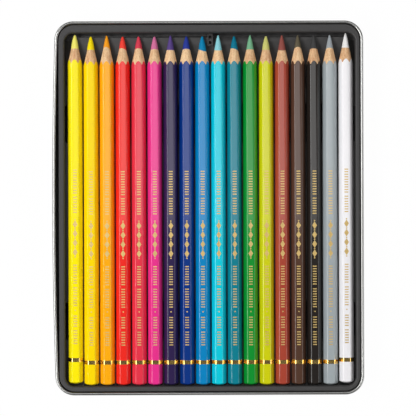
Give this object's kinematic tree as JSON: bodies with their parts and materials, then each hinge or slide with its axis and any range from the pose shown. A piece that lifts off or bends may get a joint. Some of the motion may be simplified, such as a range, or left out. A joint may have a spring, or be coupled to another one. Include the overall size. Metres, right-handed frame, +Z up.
{
  "type": "coloured pencil box",
  "caption": "Open pressed tin with a grooved dark plastic insert and a row of sharpened hexagonal coloured pencils, each of which lifts out of its groove.",
  "frame": {"origin": "middle of the tin's underside", "axes": "+X along the row of pencils, +Y from their domed ends to their points, +Z up out of the tin"},
  "size_m": [0.157, 0.1886, 0.011],
  "materials": {
    "tinplate": "bright drawn tinplate",
    "insert_plastic": "satin, fine grained thermoformed sheet",
    "cedar": "bare, cut by a sharpener",
    "gold_foil": "hot-stamped foil",
    "core_lemon": "waxy pigment core",
    "lacquer_lemon": "gloss pencil lacquer",
    "core_yellow": "waxy pigment core",
    "lacquer_yellow": "gloss pencil lacquer",
    "core_orange": "waxy pigment core",
    "lacquer_orange": "gloss pencil lacquer",
    "core_scarlet": "waxy pigment core",
    "lacquer_scarlet": "gloss pencil lacquer",
    "core_crimson": "waxy pigment core",
    "lacquer_crimson": "gloss pencil lacquer",
    "core_pink": "waxy pigment core",
    "lacquer_pink": "gloss pencil lacquer",
    "core_violet": "waxy pigment core",
    "lacquer_violet": "gloss pencil lacquer",
    "core_blue": "waxy pigment core",
    "lacquer_blue": "gloss pencil lacquer",
    "core_azure": "waxy pigment core",
    "lacquer_azure": "gloss pencil lacquer",
    "core_turquoise": "waxy pigment core",
    "lacquer_turquoise": "gloss pencil lacquer",
    "core_teal": "waxy pigment core",
    "lacquer_teal": "gloss pencil lacquer",
    "core_green": "waxy pigment core",
    "lacquer_green": "gloss pencil lacquer",
    "core_lime": "waxy pigment core",
    "lacquer_lime": "gloss pencil lacquer",
    "core_russet": "waxy pigment core",
    "lacquer_russet": "gloss pencil lacquer",
    "core_brown": "waxy pigment core",
    "lacquer_brown": "gloss pencil lacquer",
    "core_black": "waxy pigment core",
    "lacquer_black": "gloss pencil lacquer",
    "core_grey": "waxy pigment core",
    "lacquer_grey": "gloss pencil lacquer",
    "core_white": "waxy pigment core",
    "lacquer_white": "gloss pencil lacquer"
  },
  "bodies": {
    "tin": {"tin_base": "tinplate"},
    "insert": {"insert_tray": "insert_plastic"},
    "pencil_01_lemon": {"pencil_01_lemon_core": "core_lemon", "pencil_01_lemon_casing": "cedar", "pencil_01_lemon_lacquer": "lacquer_lemon"},
    "pencil_02_yellow": {"pencil_02_yellow_core": "core_yellow", "pencil_02_yellow_casing": "cedar", "pencil_02_yellow_lacquer": "lacquer_yellow"},
    "pencil_03_orange": {"pencil_03_orange_core": "core_orange", "pencil_03_orange_casing": "cedar", "pencil_03_orange_lacquer": "lacquer_orange"},
    "pencil_04_scarlet": {"pencil_04_scarlet_core": "core_scarlet", "pencil_04_scarlet_casing": "cedar", "pencil_04_scarlet_lacquer": "lacquer_scarlet"},
    "pencil_05_crimson": {"pencil_05_crimson_core": "core_crimson", "pencil_05_crimson_casing": "cedar", "pencil_05_crimson_lacquer": "lacquer_crimson"},
    "pencil_06_pink": {"pencil_06_pink_core": "core_pink", "pencil_06_pink_casing": "cedar", "pencil_06_pink_lacquer": "lacquer_pink"},
    "pencil_07_violet": {"pencil_07_violet_core": "core_violet", "pencil_07_violet_casing": "cedar", "pencil_07_violet_lacquer": "lacquer_violet"},
    "pencil_08_blue": {"pencil_08_blue_core": "core_blue", "pencil_08_blue_casing": "cedar", "pencil_08_blue_lacquer": "lacquer_blue"},
    "pencil_09_azure": {"pencil_09_azure_core": "core_azure", "pencil_09_azure_casing": "cedar", "pencil_09_azure_lacquer": "lacquer_azure"},
    "pencil_10_turquoise": {"pencil_10_turquoise_core": "core_turquoise", "pencil_10_turquoise_casing": "cedar", "pencil_10_turquoise_lacquer": "lacquer_turquoise"},
    "pencil_11_teal": {"pencil_11_teal_core": "core_teal", "pencil_11_teal_casing": "cedar", "pencil_11_teal_lacquer": "lacquer_teal"},
    "pencil_12_green": {"pencil_12_green_core": "core_green", "pencil_12_green_casing": "cedar", "pencil_12_green_lacquer": "lacquer_green"},
    "pencil_13_lime": {"pencil_13_lime_core": "core_lime", "pencil_13_lime_casing": "cedar", "pencil_13_lime_lacquer": "lacquer_lime"},
    "pencil_14_russet": {"pencil_14_russet_core": "core_russet", "pencil_14_russet_casing": "cedar", "pencil_14_russet_lacquer": "lacquer_russet"},
    "pencil_15_brown": {"pencil_15_brown_core": "core_brown", "pencil_15_brown_casing": "cedar", "pencil_15_brown_lacquer": "lacquer_brown"},
    "pencil_16_black": {"pencil_16_black_core": "core_black", "pencil_16_black_casing": "cedar", "pencil_16_black_lacquer": "lacquer_black"},
    "pencil_17_grey": {"pencil_17_grey_core": "core_grey", "pencil_17_grey_casing": "cedar", "pencil_17_grey_lacquer": "lacquer_grey"},
    "pencil_18_white": {"pencil_18_white_core": "core_white", "pencil_18_white_casing": "cedar", "pencil_18_white_lacquer": "lacquer_white"}
  },
  "joints": [
    {"name": "insert_lift", "type": "slide", "parent": "tin", "child": "insert", "axis": [0, 0, 1], "range_m": [0, 0.03]},
    {"name": "pencil_01_lemon_lift", "type": "slide", "parent": "insert", "child": "pencil_01_lemon", "axis": [0, 0, 1], "range_m": [0, 0.03]},
    {"name": "pencil_02_yellow_lift", "type": "slide", "parent": "insert", "child": "pencil_02_yellow", "axis": [0, 0, 1], "range_m": [0, 0.03]},
    {"name": "pencil_03_orange_lift", "type": "slide", "parent": "insert", "child": "pencil_03_orange", "axis": [0, 0, 1], "range_m": [0, 0.03]},
    {"name": "pencil_04_scarlet_lift", "type": "slide", "parent": "insert", "child": "pencil_04_scarlet", "axis": [0, 0, 1], "range_m": [0, 0.03]},
    {"name": "pencil_05_crimson_lift", "type": "slide", "parent": "insert", "child": "pencil_05_crimson", "axis": [0, 0, 1], "range_m": [0, 0.03]},
    {"name": "pencil_06_pink_lift", "type": "slide", "parent": "insert", "child": "pencil_06_pink", "axis": [0, 0, 1], "range_m": [0, 0.03]},
    {"name": "pencil_07_violet_lift", "type": "slide", "parent": "insert", "child": "pencil_07_violet", "axis": [0, 0, 1], "range_m": [0, 0.03]},
    {"name": "pencil_08_blue_lift", "type": "slide", "parent": "insert", "child": "pencil_08_blue", "axis": [0, 0, 1], "range_m": [0, 0.03]},
    {"name": "pencil_09_azure_lift", "type": "slide", "parent": "insert", "child": "pencil_09_azure", "axis": [0, 0, 1], "range_m": [0, 0.03]},
    {"name": "pencil_10_turquoise_lift", "type": "slide", "parent": "insert", "child": "pencil_10_turquoise", "axis": [0, 0, 1], "range_m": [0, 0.03]},
    {"name": "pencil_11_teal_lift", "type": "slide", "parent": "insert", "child": "pencil_11_teal", "axis": [0, 0, 1], "range_m": [0, 0.03]},
    {"name": "pencil_12_green_lift", "type": "slide", "parent": "insert", "child": "pencil_12_green", "axis": [0, 0, 1], "range_m": [0, 0.03]},
    {"name": "pencil_13_lime_lift", "type": "slide", "parent": "insert", "child": "pencil_13_lime", "axis": [0, 0, 1], "range_m": [0, 0.03]},
    {"name": "pencil_14_russet_lift", "type": "slide", "parent": "insert", "child": "pencil_14_russet", "axis": [0, 0, 1], "range_m": [0, 0.03]},
    {"name": "pencil_15_brown_lift", "type": "slide", "parent": "insert", "child": "pencil_15_brown", "axis": [0, 0, 1], "range_m": [0, 0.03]},
    {"name": "pencil_16_black_lift", "type": "slide", "parent": "insert", "child": "pencil_16_black", "axis": [0, 0, 1], "range_m": [0, 0.03]},
    {"name": "pencil_17_grey_lift", "type": "slide", "parent": "insert", "child": "pencil_17_grey", "axis": [0, 0, 1], "range_m": [0, 0.03]},
    {"name": "pencil_18_white_lift", "type": "slide", "parent": "insert", "child": "pencil_18_white", "axis": [0, 0, 1], "range_m": [0, 0.03]}
  ]
}
